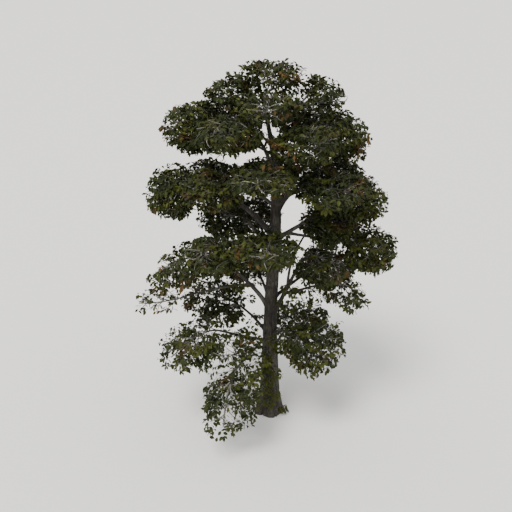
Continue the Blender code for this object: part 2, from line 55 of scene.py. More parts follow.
# The camera looks at the middle of the tree from the front, from above its top and dipped, as the
# photograph does, far enough back that the whole crown is in view.
CAMERA_TARGET = (-0.514, 0.0, 6.33)
CAMERA_DISTANCE = 25.2
CAMERA_DIP = math.radians(21.0)

lens = bpy.data.cameras.new("camera")
lens.lens = 50.0
lens.sensor_width = 36.0
lens.clip_end = 4000.0
camera = bpy.data.objects.new("camera", lens)
camera.location = (CAMERA_TARGET[0],
                   CAMERA_TARGET[1] - CAMERA_DISTANCE * math.cos(CAMERA_DIP),
                   CAMERA_TARGET[2] + CAMERA_DISTANCE * math.sin(CAMERA_DIP))
camera.rotation_euler = (math.pi / 2 - CAMERA_DIP, 0.0, 0.0)
bpy.context.scene.collection.objects.link(camera)
bpy.context.scene.camera = camera


# The studio: a plain pale floor that runs far past the view, a pale sky all round, and one broad
# soft light from above and a little to the front left, so that the tops of the tiers catch it.
FLOOR_HALF = 1500.0
FLOOR_COLOUR = (0.88, 0.88, 0.88)
FLOOR_ROUGHNESS = 0.9
SKY_COLOUR = (1.0, 0.99, 0.97)
SKY_STRENGTH = 1.1
SUN_COLOUR = (1.0, 0.97, 0.90)
SUN_STRENGTH = 3.0
SUN_SOFTNESS = math.radians(25.0)
SUN_TILT = (math.radians(28.0), math.radians(-18.0), 0.0)


def plain_material(name, colour, roughness):
    """A Principled material with one colour, and its node tree and shader."""
    material = bpy.data.materials.new(name)
    material.use_nodes = True
    shader = material.node_tree.nodes["Principled BSDF"]
    shader.inputs["Base Color"].default_value = (*colour, 1.0)
    shader.inputs["Roughness"].default_value = roughness
    return material, material.node_tree, shader


def mesh_object(name, corners, triangles, smooth):
    """A mesh object at the origin from arrays of corners (n, 3) and triangles (m, 3)."""
    mesh = bpy.data.meshes.new(name)
    mesh.vertices.add(len(corners))
    mesh.vertices.foreach_set("co", np.asarray(corners, dtype=np.float32).ravel())
    mesh.loops.add(triangles.size)
    mesh.loops.foreach_set("vertex_index", np.asarray(triangles, dtype=np.int32).ravel())
    mesh.polygons.add(len(triangles))
    mesh.polygons.foreach_set("loop_start", np.arange(0, triangles.size, 3, dtype=np.int32))
    mesh.polygons.foreach_set("use_smooth", np.full(len(triangles), smooth))
    mesh.update(calc_edges=True)
    piece = bpy.data.objects.new(name, mesh)
    bpy.context.scene.collection.objects.link(piece)
    return piece


floor_corners = FLOOR_HALF * np.array([[-1, -1, 0], [1, -1, 0], [1, 1, 0], [-1, 1, 0]])
floor = mesh_object("floor", floor_corners, np.array([[0, 1, 2], [0, 2, 3]]), False)
floor.data.materials.append(plain_material("pale_floor", FLOOR_COLOUR, FLOOR_ROUGHNESS)[0])

sky = bpy.data.worlds.new("pale_sky")
sky.use_nodes = True
sky.node_tree.nodes["Background"].inputs["Color"].default_value = (*SKY_COLOUR, 1.0)
sky.node_tree.nodes["Background"].inputs["Strength"].default_value = SKY_STRENGTH
bpy.context.scene.world = sky

sun_lamp = bpy.data.lights.new("soft_light", "SUN")
sun_lamp.energy = SUN_STRENGTH
sun_lamp.color = SUN_COLOUR
sun_lamp.angle = SUN_SOFTNESS
sun = bpy.data.objects.new("soft_light", sun_lamp)
sun.rotation_euler = SUN_TILT
bpy.context.scene.collection.objects.link(sun)


# The trunk: one stem of old wood that tapers from a flared foot to a leaning tip, in thick
# grey-brown bark. Its ridges and furrows run lengthwise and join and part, deepest at the foot.
TRUNK_TOP = 12.4
TRUNK_TAPER = ((0.0, 0.360), (1.9, 0.325), (3.8, 0.250), (7.6, 0.200), (8.6, 0.165),
               (9.8, 0.110), (11.0, 0.075), (TRUNK_TOP, 0.030))
TRUNK_LEAN = ((0.0, 0.0), (4.0, 0.0), (7.6, 0.18), (9.5, 0.14), (11.0, -0.10), (TRUNK_TOP, -0.45))
LEAN_SOFTNESS = 0.5
FLARE_SPREAD = 0.22
FLARE_HEIGHT = 0.55
ROOT_LOBES = 5
ROOT_LOBE_DEPTH = 0.10
ROOT_LOBE_TURN = math.radians(28.0)
TRUNK_SIDES = 180
TRUNK_ROWS = 300
TRUNK_ROW_CROWDING = 1.15
FURROWS_ROUND = 15
FURROW_LENGTH = 0.55
FURROW_WIDTH = 0.22
FURROW_SHARE = 0.11
DEEP_FURROW_SHARE = 0.75
FINE_FURROW_SHARE = 0.35
FINE_FURROW_PACE = 2.3
WANDER_PACE = 1.7
DEEP_FURROW_WANDER = 0.5
FINE_FURROW_WANDER = 0.3
TRUNK_FURROW_SEED = 11
TRUNK_GRAIN = 26.0
TRUNK_GRAIN_DEPTH = 0.012
STEEP_RISE = 0.7
PATCH_RANGE = (0.42, 0.66)
CRACK_RANGE = (0.36, 0.62)
CRACK_STRETCH = 0.22
BARK_ROUGHNESS = 0.9
# The dark of the bark's cracks, which is also painted into the furrows as shade.
BARK_CRACK_AND_SHADE_DARK = (0.016, 0.013, 0.011)
BARK_MIDDLE = (0.046, 0.041, 0.029)
BARK_PALE = (0.105, 0.098, 0.078)


def trunk_centres(heights):
    """Middle of the trunk at heights: straight leans averaged over a short run, so it bends softly."""
    levels, leans = zip(*TRUNK_LEAN)
    shifts = [np.interp(heights + LEAN_SOFTNESS * step, levels, leans) for step in (-1.0, 0.0, 1.0)]
    return np.stack([np.mean(shifts, axis=0), np.zeros_like(heights), heights], axis=-1)


def trunk_radii(heights):
    """Mean radius at heights: the taper, and the root flare that dies away up the trunk."""
    levels, radii = zip(*TRUNK_TAPER)
    return np.interp(heights, levels, radii) + FLARE_SPREAD * np.exp(-heights / FLARE_HEIGHT)


def wrapped_noise(turns, rows, columns, seed):
    """Smooth noise from 0 to 1 round a limb: random values on a lattice of columns that wraps
    round it, eased between the four nearest. turns is 0 to 1 round it, rows is along it."""
    lattice = np.random.default_rng(seed).random((int(rows.max()) + 2, columns))
    across = turns * columns
    column = np.floor(across).astype(int)
    row = np.floor(rows).astype(int)
    ease_across = across - column
    ease_across = ease_across ** 2 * (3 - 2 * ease_across)
    ease_along = rows - row
    ease_along = ease_along ** 2 * (3 - 2 * ease_along)
    left = column % columns
    right = (column + 1) % columns
    below = lattice[row, left] * (1 - ease_across) + lattice[row, right] * ease_across
    above = lattice[row + 1, left] * (1 - ease_across) + lattice[row + 1, right] * ease_across
    return below * (1 - ease_along) + above * ease_along


def furrow_depths(turns, heights, columns, length, seed):
    """Depth of the bark from 0 on a ridge to 1 in a furrow: furrows follow the half-way contours
    of noise that is drawn out lengthwise, so they part and meet again. Finer ones, twice as many
    and shorter, run between the deep ones, and a broad noise shifts both to and fro."""
    rows = heights / length
    wander = wrapped_noise(turns, rows * WANDER_PACE, columns // 3 + 2, seed + 1) - 0.5
    deep_turns = (turns + wander * DEEP_FURROW_WANDER / columns) % 1.0
    fine_turns = (turns + wander * FINE_FURROW_WANDER / columns) % 1.0
    deep = wrapped_noise(deep_turns, rows, columns, seed + 2)
    fine = wrapped_noise(fine_turns, rows * FINE_FURROW_PACE, columns * 2, seed + 3)
    deep_depth = np.exp(-((deep - 0.5) / FURROW_WIDTH * 2) ** 2)
    fine_depth = np.exp(-((fine - 0.5) / FURROW_WIDTH * 2) ** 2)
    return np.clip(DEEP_FURROW_SHARE * deep_depth + FINE_FURROW_SHARE * fine_depth, 0.0, 1.0)


def tubes(lines, radii, sides):
    """Corners and triangles of closed tubes along lines (lines, points, 3). Each point carries a
    ring of corners at point + radius * (cosine of the angle * level + sine * upward), where level
    and upward are square to the line, and radii are (lines, points, sides or 1). A corner in the
    middle closes each end, but one triangle closes the end of a three-sided tube."""
    count, length = lines.shape[:2]
    ways = np.gradient(lines, axis=1)
    ways /= np.linalg.norm(ways, axis=2, keepdims=True)
    steep = np.abs(ways.mean(axis=1)[:, 2]) > STEEP_RISE
    reference = np.where(steep[:, None], [1.0, 0.0, 0.0], [0.0, 0.0, 1.0])[:, None, :]
    level = np.cross(np.broadcast_to(reference, ways.shape), ways)
    level /= np.linalg.norm(level, axis=2, keepdims=True)
    upward = np.cross(ways, level)
    angles = np.arange(sides) * 2 * math.pi / sides
    spokes = (np.cos(angles)[:, None] * level[:, :, None, :]
              + np.sin(angles)[:, None] * upward[:, :, None, :])
    rings = lines[:, :, None, :] + spokes * radii[..., None]
    corners = np.concatenate([rings.reshape(count, -1, 3), lines[:, :1], lines[:, -1:]], axis=1)
    row, side = np.meshgrid(np.arange(length - 1), np.arange(sides), indexing="ij")
    after = (side + 1) % sides
    here = row * sides
    first = np.stack([here + side, here + after, here + sides + after], axis=-1).reshape(-1, 3)
    second = np.stack([here + side, here + sides + after, here + sides + side], axis=-1).reshape(-1, 3)
    ring = np.arange(sides)
    onward = (ring + 1) % sides
    last = (length - 1) * sides
    foot = np.stack([np.full(sides, length * sides), onward, ring], axis=-1)
    tip = np.stack([np.full(sides, length * sides + 1), last + ring, last + onward], axis=-1)
    if sides == 3:
        corners = corners[:, :-2]
        foot = np.array([[0, 2, 1]])
        tip = last + np.array([[0, 1, 2]])
    pattern = np.vstack([first, second, foot, tip])
    offsets = np.arange(count)[:, None, None] * corners.shape[1]
    return corners.reshape(-1, 3), (pattern[None] + offsets).reshape(-1, 3)


def bark_group():
    """Fine cracks and lichen-pale patches of bark. Cracks are noise drawn out along Z and patches
    are slow noise, both read at Object coordinates. Patches take the middle colour to the pale
    one, and cracks take it to the dark one. The furrows are taken to the dark one too, by their
    depth, as painted shade."""
    group = bpy.data.node_groups.new("bark_surface", "ShaderNodeTree")
    face = group.interface
    for name, kind, value in (("Dark", "NodeSocketColor", (*BARK_CRACK_AND_SHADE_DARK, 1.0)),
                              ("Middle", "NodeSocketColor", (*BARK_MIDDLE, 1.0)),
                              ("Pale", "NodeSocketColor", (*BARK_PALE, 1.0)),
                              ("Grain", "NodeSocketFloat", TRUNK_GRAIN),
                              ("Furrow_Shade", "NodeSocketFloat", 0.0)):
        face.new_socket(name=name, in_out="INPUT", socket_type=kind).default_value = value
    face.new_socket(name="Colour", in_out="OUTPUT", socket_type="NodeSocketColor")
    face.new_socket(name="Height", in_out="OUTPUT", socket_type="NodeSocketFloat")
    face.new_socket(name="Roughness", in_out="OUTPUT", socket_type="NodeSocketFloat")
    nodes = group.nodes
    links = group.links
    given = nodes.new("NodeGroupInput")
    result = nodes.new("NodeGroupOutput")
    place = nodes.new("ShaderNodeTexCoord")
    stretch = nodes.new("ShaderNodeMapping")
    stretch.inputs["Scale"].default_value = (1.0, 1.0, CRACK_STRETCH)
    links.new(place.outputs["Object"], stretch.inputs["Vector"])
    cracks = nodes.new("ShaderNodeTexNoise")
    cracks.inputs["Detail"].default_value = 6.0
    cracks.inputs["Roughness"].default_value = 0.65
    links.new(stretch.outputs["Vector"], cracks.inputs["Vector"])
    links.new(given.outputs["Grain"], cracks.inputs["Scale"])
    patches = nodes.new("ShaderNodeTexNoise")
    patches.inputs["Scale"].default_value = 1.6
    patches.inputs["Detail"].default_value = 4.0
    links.new(place.outputs["Object"], patches.inputs["Vector"])

    def share_between(value, low, high):
        share = nodes.new("ShaderNodeMapRange")
        share.inputs["From Min"].default_value = low
        share.inputs["From Max"].default_value = high
        links.new(value, share.inputs["Value"])
        return share.outputs["Result"]

    def blended(share, first, second):
        blend = nodes.new("ShaderNodeMix")
        blend.data_type = "RGBA"
        links.new(share, blend.inputs["Factor"])
        links.new(first, blend.inputs["A"])
        links.new(second, blend.inputs["B"])
        return blend.outputs["Result"]

    patch_share = share_between(patches.outputs["Fac"], *PATCH_RANGE)
    crack_share = share_between(cracks.outputs["Fac"], *CRACK_RANGE)
    ridge = blended(patch_share, given.outputs["Middle"], given.outputs["Pale"])
    cracked = blended(crack_share, given.outputs["Dark"], ridge)
    # Painted shade: the colour darkens to the dark one down in the furrows, by their depth.
    furrow_shaded = blended(given.outputs["Furrow_Shade"], cracked, given.outputs["Dark"])
    matt = nodes.new("ShaderNodeMapRange")
    matt.inputs["To Min"].default_value = 0.95
    matt.inputs["To Max"].default_value = 0.75
    links.new(cracks.outputs["Fac"], matt.inputs["Value"])
    links.new(furrow_shaded, result.inputs["Colour"])
    links.new(cracks.outputs["Fac"], result.inputs["Height"])
    links.new(matt.outputs["Result"], result.inputs["Roughness"])
    return group


bark_surface = bark_group()


def bark_material(name, middle, pale, grain, grain_depth):
    """Bark from the shared group, with its own colours and a grain of its own depth, and the depth
    of its furrows from the mesh's attribute, where it has one, which paints shade into the furrows."""
    material, tree, shader = plain_material(name, middle, BARK_ROUGHNESS)
    surface = tree.nodes.new("ShaderNodeGroup")
    surface.node_tree = bark_surface
    surface.inputs["Middle"].default_value = (*middle, 1.0)
    surface.inputs["Pale"].default_value = (*pale, 1.0)
    surface.inputs["Grain"].default_value = grain
    # The furrow depth from the mesh drives the painted shade in the furrows.
    furrow = tree.nodes.new("ShaderNodeAttribute")
    furrow.attribute_name = "furrow"
    relief = tree.nodes.new("ShaderNodeBump")
    relief.inputs["Strength"].default_value = 0.8
    relief.inputs["Distance"].default_value = grain_depth
    tree.links.new(furrow.outputs["Fac"], surface.inputs["Furrow_Shade"])
    tree.links.new(surface.outputs["Colour"], shader.inputs["Base Color"])
    tree.links.new(surface.outputs["Roughness"], shader.inputs["Roughness"])
    tree.links.new(surface.outputs["Height"], relief.inputs["Height"])
    tree.links.new(relief.outputs["Normal"], shader.inputs["Normal"])
    return material


def mark_furrows(piece, depths):
    """Stores the depth of the bark at every corner, with none at the corners that close the ends.
    The bark material paints shade into the furrows by this depth.
    """
    mark = piece.data.attributes.new("furrow", "FLOAT", "POINT")
    mark.data.foreach_set("value", depths.astype(np.float32).ravel())


trunk_heights = TRUNK_TOP * np.linspace(0.0, 1.0, TRUNK_ROWS) ** TRUNK_ROW_CROWDING
trunk_turns = np.arange(TRUNK_SIDES) / TRUNK_SIDES
heights, turns = np.meshgrid(trunk_heights, trunk_turns, indexing="ij")
trunk_furrows = furrow_depths(turns, heights, FURROWS_ROUND, FURROW_LENGTH, TRUNK_FURROW_SEED)
lobes = np.cos(ROOT_LOBES * (turns * 2 * math.pi - ROOT_LOBE_TURN)) * np.exp(-heights / FLARE_HEIGHT)
trunk_relief = 1.0 + ROOT_LOBE_DEPTH * lobes - FURROW_SHARE * trunk_furrows
upright = np.stack([np.zeros_like(trunk_heights), np.zeros_like(trunk_heights), trunk_heights], axis=1)
trunk_spread = (trunk_radii(trunk_heights)[:, None] * trunk_relief)[None]
trunk_corners, trunk_triangles = tubes(upright[None], trunk_spread, TRUNK_SIDES)
# A quarter turn starts every ring at the left, and then the trunk leans as its solid does.
trunk_corners[:, :2] = np.stack([trunk_corners[:, 1], -trunk_corners[:, 0]], axis=1)
trunk_corners[:, 0] += trunk_centres(trunk_corners[:, 2])[:, 0]
trunk_bark = mesh_object("trunk_bark", trunk_corners, trunk_triangles, True)
mark_furrows(trunk_bark, np.append(trunk_furrows.ravel(), [0.0, 0.0]))
trunk_bark.data.materials.append(
    bark_material("furrowed_bark", BARK_MIDDLE, BARK_PALE, TRUNK_GRAIN, TRUNK_GRAIN_DEPTH))
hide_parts("trunk")
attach(trunk_bark, "root")


# The main boughs: single tapering limbs in thinner bark, each with a collar where it leaves the
# trunk or its parent bough, bending up or out to the inner end of the foliage that it carries.

# The space of each mass of foliage is an ellipsoid. A row gives its bearing in degrees (0 is right
# and 90 is away), distance out, height, half length outwards, half breadth, half thickness, and
# the rise of its length in degrees.
MASSES = {
    "foliage_top_middle": (0, 0.10, 12.58, 1.20, 1.10, 0.56, -8),
    "foliage_top_left": (180, 1.25, 12.12, 1.20, 1.05, 0.55, -22),
    "foliage_top_right": (0, 1.62, 12.02, 1.00, 1.00, 0.55, -20),
    "foliage_top_front": (265, 1.45, 11.80, 1.20, 1.15, 0.55, 0),
    "foliage_shoulder_left": (180, 2.50, 10.90, 1.28, 1.20, 0.88, 0),
    "foliage_shoulder_front_left": (232, 2.15, 11.00, 1.30, 1.15, 0.65, 0),
    "foliage_shoulder_front_right": (300, 2.05, 10.70, 1.30, 1.20, 0.68, 0),
    "foliage_shoulder_right": (0, 2.25, 10.60, 1.10, 1.20, 0.88, -12),
    "foliage_shoulder_back_right": (55, 2.20, 10.80, 1.30, 1.20, 0.75, 0),
    "foliage_shoulder_back_left": (125, 2.30, 10.95, 1.30, 1.20, 0.70, 0),
    "foliage_upper_left_outer": (182, 3.28, 8.72, 1.08, 1.25, 0.90, -20),
    "foliage_upper_left_front": (215, 2.30, 9.12, 1.30, 1.15, 0.68, 0),
    "foliage_upper_left_back": (150, 2.40, 8.85, 1.30, 1.20, 0.72, 0),
    "foliage_upper_front": (262, 2.40, 9.75, 1.40, 1.15, 0.50, 0),
    "foliage_upper_right_front": (320, 2.40, 9.20, 1.30, 1.20, 0.68, 0),
    "foliage_upper_right_outer": (357, 2.90, 8.55, 1.18, 1.25, 0.85, -20),
    "foliage_upper_right_back": (35, 2.55, 8.90, 1.30, 1.20, 0.72, 0),
    "foliage_upper_back": (90, 2.60, 8.65, 1.40, 1.30, 0.60, 0),
    "foliage_middle_right": (352, 2.02, 7.55, 1.15, 1.20, 0.68, 0),
    "foliage_middle_right_outer": (355, 3.42, 6.72, 1.12, 1.20, 0.85, -15),
    "foliage_middle_right_back": (38, 2.85, 7.00, 1.20, 1.20, 0.72, 0),
    "foliage_middle_front": (266, 2.50, 7.50, 1.50, 1.15, 0.52, 0),
    "foliage_middle_left_front": (225, 2.50, 7.10, 1.40, 1.15, 0.68, 0),
    "foliage_middle_left_back": (145, 1.85, 7.30, 1.20, 1.05, 0.62, 0),
    "foliage_middle_back": (105, 2.60, 7.15, 1.40, 1.15, 0.60, 0),
    "foliage_lower_left_outer": (185, 3.10, 6.02, 1.15, 1.20, 0.62, -28),
    "foliage_lower_left_tip": (188, 3.97, 4.85, 0.92, 0.80, 0.42, -5),
    "foliage_lower_left_back": (145, 2.40, 4.02, 1.25, 1.05, 0.82, 0),
    "foliage_lower_right": (345, 1.90, 6.15, 1.02, 1.10, 0.68, 0),
    "foliage_lower_right_outer": (358, 2.62, 5.05, 0.95, 1.00, 0.55, -18),
    "foliage_lower_right_back": (40, 3.00, 5.25, 1.20, 1.20, 0.70, 0),
    "foliage_lower_back": (105, 2.60, 5.20, 1.40, 1.20, 0.75, 0),
    "foliage_low_left": (200, 2.85, 3.32, 1.20, 1.20, 0.66, -22),
    "foliage_low_front_left": (232, 2.00, 3.48, 1.00, 0.85, 0.52, -10),
    "foliage_low_right": (322, 1.88, 3.50, 1.08, 1.12, 0.98, -10),
    "foliage_low_back": (65, 2.60, 2.72, 1.30, 1.15, 0.60, -5),
    "foliage_skirt_front": (243, 2.95, 2.25, 1.30, 0.98, 0.72, -55),
}
# A row gives what a bough leaves and where (a height on the trunk, or a share along a bough), its
# rise there in degrees, its radius at the root and at the tip, and the mass that it carries.
BOUGHS = {
    "second_leader": ("trunk", 9.15, 72, 0.080, 0.045, "foliage_shoulder_front_left"),
    "bough_shoulder_right": ("trunk", 9.50, 50, 0.070, 0.045, "foliage_shoulder_right"),
    "bough_upper_left": ("trunk", 6.90, 62, 0.115, 0.060, "foliage_upper_left_outer"),
    "bough_upper_left_front": ("trunk", 8.90, 25, 0.085, 0.050, "foliage_upper_left_front"),
    "bough_upper_right": ("trunk", 8.25, 50, 0.130, 0.060, "foliage_upper_right_outer"),
    "bough_upper_right_front": ("trunk", 8.80, 40, 0.075, 0.045, "foliage_upper_right_front"),
    "bough_upper_right_back": ("trunk", 7.90, 50, 0.085, 0.050, "foliage_upper_right_back"),
    "bough_middle_right": ("trunk", 6.95, 32, 0.095, 0.065, "foliage_middle_right"),
    "bough_middle_right_outer": ("bough_middle_right", 0.5, -10, 0.055, 0.040,
                                 "foliage_middle_right_outer"),
    "bough_middle_left_front": ("trunk", 6.20, 30, 0.085, 0.050, "foliage_middle_left_front"),
    "bough_middle_left_back": ("trunk", 6.50, 30, 0.085, 0.050, "foliage_middle_left_back"),
    "bough_lower_left": ("trunk", 4.15, 66, 0.095, 0.045, "foliage_lower_left_outer"),
    "bough_lower_left_tip": ("bough_lower_left", 0.45, 0, 0.045, 0.028, "foliage_lower_left_tip"),
    "bough_lower_left_back": ("trunk", 3.00, 60, 0.065, 0.040, "foliage_lower_left_back"),
    "bough_lower_right": ("trunk", 3.90, 62, 0.100, 0.050, "foliage_lower_right"),
    "bough_lower_right_outer": ("bough_lower_right", 0.5, 10, 0.055, 0.035, "foliage_lower_right_outer"),
    "bough_middle_right_back": ("bough_lower_right", 0.62, 95, 0.050, 0.035, "foliage_middle_right_back"),
    "bough_lower_right_back": ("trunk", 4.60, 25, 0.070, 0.045, "foliage_lower_right_back"),
    "bough_low_left": ("trunk", 2.95, 20, 0.060, 0.040, "foliage_low_left"),
    "bough_low_right": ("trunk", 3.25, 40, 0.050, 0.035, "foliage_low_right"),
    "bough_skirt_front": ("trunk", 3.30, -5, 0.060, 0.040, "foliage_skirt_front"),
}
BOUGH_BEND = 0.45
LIMB_POINTS = 28
LIMB_SIDES = 16
STEM_INNER_END = 0.85
COLLAR_SWELL = 0.45
COLLAR_LENGTH = 0.14
LIMB_FURROWS = 7
LIMB_FURROW_LENGTH = 0.30
LIMB_FURROW_SHARE = 0.10
LIMB_FURROW_SEED = 40
LIMB_GRAIN = 42.0
LIMB_GRAIN_DEPTH = 0.006
LIMB_BARK_MIDDLE = (0.060, 0.054, 0.043)
LIMB_BARK_PALE = (0.150, 0.142, 0.122)


def heading(bearing, rise):
    """Unit vector along a bearing, rising by an angle, both in degrees."""
    turn = math.radians(bearing)
    lift = math.radians(rise)
    return np.array([math.cos(turn) * math.cos(lift), math.sin(turn) * math.cos(lift), math.sin(lift)])


def unit(vectors):
    """Vectors divided by their lengths."""
    return vectors / np.linalg.norm(vectors, axis=-1, keepdims=True)


def bearing_of(vector):
    """Bearing of a vector in degrees, from +X round towards +Y."""
    return math.degrees(math.atan2(vector[1], vector[0]))


def arc(start, start_way, end, bend, count):
    """Points on a curve that leaves start along start_way and bends evenly round to end."""
    knee = start + start_way * bend * np.linalg.norm(end - start)
    along = np.linspace(0.0, 1.0, count)[:, None]
    return (1 - along) ** 2 * start + 2 * along * (1 - along) * knee + along ** 2 * end


def mass_frame(name):
    """Middle, unit axes (outward, across, up) and half sizes of a mass's space, an ellipsoid."""
    bearing, distance, height, length, breadth, thickness, rise = MASSES[name]
    outward = heading(bearing, rise)
    across = heading(bearing + 90, 0)
    middle = heading(bearing, 0) * distance + np.array([0.0, 0.0, height])
    axes = np.array([outward, across, np.cross(outward, across)])
    return middle, axes, np.array([length, breadth, thickness])


def bough_line(name):
    """Middle line and radii of a bough, from inside its parent to the inner end of its mass."""
    parent, place, rise, root_radius, tip_radius, mass = BOUGHS[name]
    if parent == "trunk":
        root = trunk_centres(np.array(place))
    else:
        line = bough_line(parent)[0]
        places = np.linspace(0.0, 1.0, len(line))
        root = np.array([np.interp(place, places, line[:, axis]) for axis in range(3)])
    middle, axes, halves = mass_frame(mass)
    tip = middle - axes[0] * halves[0] * STEM_INNER_END
    line = arc(root, heading(bearing_of(tip - root), rise), tip, BOUGH_BEND, LIMB_POINTS)
    return line, np.linspace(root_radius, tip_radius, LIMB_POINTS)


def steps_along(line):
    """Length of a line from its start to each of its points."""
    return np.append(0.0, np.cumsum(np.linalg.norm(np.diff(line, axis=0), axis=1)))


limb_bark = bark_material("fissured_bark", LIMB_BARK_MIDDLE, LIMB_BARK_PALE, LIMB_GRAIN, LIMB_GRAIN_DEPTH)
limb_turns = np.arange(LIMB_SIDES) / LIMB_SIDES
for number, name in enumerate(BOUGHS):
    line, radii = bough_line(name)
    steps = steps_along(line)
    # The line starts in the middle of what carries the bough, so the collar starts a radius out.
    parent, place = BOUGHS[name][:2]
    cover = trunk_radii(np.array(place)) if parent == "trunk" else BOUGHS[parent][4]
    swell = 1.0 + COLLAR_SWELL * np.exp(-np.maximum(steps - cover, 0.0) / COLLAR_LENGTH)
    rows, turns = np.meshgrid(steps, limb_turns, indexing="ij")
    depths = furrow_depths(turns, rows, LIMB_FURROWS, LIMB_FURROW_LENGTH, LIMB_FURROW_SEED + number)
    spread = (radii * swell)[:, None] * (1.0 - LIMB_FURROW_SHARE * depths)
    corners, triangles = tubes(line[None], spread[None], LIMB_SIDES)
    bark = mesh_object(name + "_bark", corners, triangles, True)
    mark_furrows(bark, np.append(depths.ravel(), [0.0, 0.0]))
    bark.data.materials.append(limb_bark)
    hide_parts(name)
    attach(bark, "root")


# The twigs: each mass of foliage grows from one stem, which carries on from its bough's tip or
# leaves the trunk. Branching twigs leave it forward and bend out, a few arch over the top of the
# mass, and fine stalks run on from them to the sprays. The twigs and stalks are young wood in
# smooth pale bark, and the stems are in the boughs' bark.

# A row gives a stem's height on the trunk, its rise there in degrees, and its radius at the root.
TRUNK_STEMS = {
    "foliage_top_middle": (11.90, 40, 0.035),
    "foliage_top_left": (11.30, 35, 0.040),
    "foliage_top_right": (11.10, 45, 0.040),
    "foliage_top_front": (10.90, 45, 0.040),
    "foliage_shoulder_left": (9.95, 35, 0.050),
    "foliage_shoulder_front_right": (10.00, 35, 0.045),
    "foliage_shoulder_back_right": (10.00, 35, 0.050),
    "foliage_shoulder_back_left": (10.20, 35, 0.050),
    "foliage_upper_left_back": (8.10, 40, 0.070),
    "foliage_upper_front": (9.10, 35, 0.055),
    "foliage_upper_back": (8.00, 35, 0.070),
    "foliage_middle_front": (6.80, 30, 0.070),
    "foliage_middle_back": (6.30, 30, 0.070),
    "foliage_lower_back": (4.40, 35, 0.075),
    "foliage_low_front_left": (2.60, 35, 0.045),
    "foliage_low_back": (2.40, 20, 0.065),
}
STEM_BEND = 0.40
STEM_POINTS = 16
STEM_SIDES = 8
STEM_OUTER_END = 0.80
STEM_TIP_RADIUS = 0.014
TWIGS_PER_MASS = 12
TWIG_BACK_LIMIT = -0.55
TWIG_REACH = 0.90
TWIG_LEAST_REACH = 0.35
TWIG_TRIES = 8
TWIG_BEND = 0.40
TWIG_POINTS = 9
TWIG_SIDES = 5
TWIG_ROOT_RADIUS = 0.024
TWIG_TIP_RADIUS = 0.009
TOP_TWIGS = ((0.78, 0.38, 0.48), (0.80, -0.40, 0.44), (0.30, 0.12, 0.92))
TOP_TWIG_REACH = 0.97
GOLDEN_ANGLE = 137.508
NEARNESS = 0.6
SPACE_MARGIN = 0.02
WOOD_ROOM = 0.05
REACH_SPARE = 0.012
GROUND_GAP = 0.05
SPRAYS_PER_CUBIC_METRE = 25.0
SPRAY_BACK_LIMIT = -1.0
SPRAY_LENGTH = 0.72
LEAST_FILL = 0.10
FILL_PACE = 0.86
FILL_STEP = 0.7548777
LOBES_ROUND = 3
LOBES_ALONG = 4.5
LOBE_DEPTH = 0.07
LOBE_SHIFT = (0.0, 6.0)
LOOSE_MASSES = ("foliage_low", "foliage_skirt")
LOOSE_SPREAD = 1.14
LOOSE_SHARE = 0.80
STALK_BEND = 0.35
STALK_POINTS = 5
STALK_SIDES = 3
STALK_LEAST_SHARE = 0.2
STALK_FORWARD = 0.35
STALK_SINK = 0.15
STALK_RADIUS = 0.010
SHOOT_RADIUS = 0.0055
TWIG_GRAIN = 60.0
TWIG_GRAIN_DEPTH = 0.002
TWIG_BARK_MIDDLE = (0.230, 0.218, 0.190)
TWIG_BARK_PALE = (0.400, 0.390, 0.350)

space_middles, space_axes, space_halves = (np.array(part) for part in zip(*map(mass_frame, MASSES)))
reach_low = np.array(cad_box[0]) - REACH_SPARE * (np.array(cad_box[1]) - np.array(cad_box[0]))
reach_high = np.array(cad_box[1]) + REACH_SPARE * (np.array(cad_box[1]) - np.array(cad_box[0]))
limb_points = np.vstack([bough_line(name)[0] for name in BOUGHS] + [trunk_centres(trunk_heights)])
limb_radii = np.concatenate([bough_line(name)[1] for name in BOUGHS] + [trunk_radii(trunk_heights)])


def depths_in(points):
    """How deep points lie in every mass's space: 0 at its middle and 1 at its edge."""
    offsets = points[:, None, :] - space_middles
    return np.linalg.norm(np.einsum("mij,pmj->pmi", space_axes, offsets) / space_halves, axis=2)


def belong(points, number, margin, edge=1.0):
    """Which points lie in a mass's own space out to an edge, and deeper there than in any other's
    by a margin. A margin below zero lets neighbours mix a little."""
    depths = depths_in(points)
    own = depths[:, number]
    others = np.delete(depths, number, axis=1).min(axis=1)
    return (own <= edge) & (own + margin <= others)


def within_reach(points):
    """Which points are clear of the ground and no further out than the solids but for a small share."""
    return ((points >= reach_low) & (points <= reach_high) & (points[:, 2:] > GROUND_GAP)).all(axis=1)


def clear_of_limbs(points, room):
    """Which points are further than a room from the surface of the trunk and every bough."""
    gaps = np.linalg.norm(points[:, None, :] - limb_points, axis=2) - limb_radii
    return gaps.min(axis=1) > room


def stem_line(name):
    """Middle line and radii of a mass's stem, on from its bough's tip or out from the trunk."""
    middle, axes, halves = mass_frame(name)
    end = middle + axes[0] * halves[0] * STEM_OUTER_END
    if name in TRUNK_STEMS:
        height, rise, radius = TRUNK_STEMS[name]
        start = trunk_centres(np.array(height))
        way = heading(bearing_of(middle - start), rise)
    else:
        bough = next(key for key, row in BOUGHS.items() if row[-1] == name)
        carrier, radii = bough_line(bough)
        radius = radii[-1]
        start = carrier[-1]
        way = unit(carrier[-1] - carrier[-2])
    line = arc(start, way, end, STEM_BEND, STEM_POINTS)
    return line, np.linspace(radius, STEM_TIP_RADIUS, STEM_POINTS)


def aims(count, turn, back_limit):
    """Even directions from a middle and their turns about the outward axis: rings from the outer
    end back to a limit, a golden angle apart."""
    numbers = np.arange(count)
    forward = 1.0 - (1.0 - back_limit) * (numbers + 0.5) / count
    turns = np.radians(turn + GOLDEN_ANGLE * numbers)
    sideways = np.sqrt(1.0 - forward ** 2)
    return np.stack([forward, sideways * np.cos(turns), sideways * np.sin(turns)], axis=1), turns


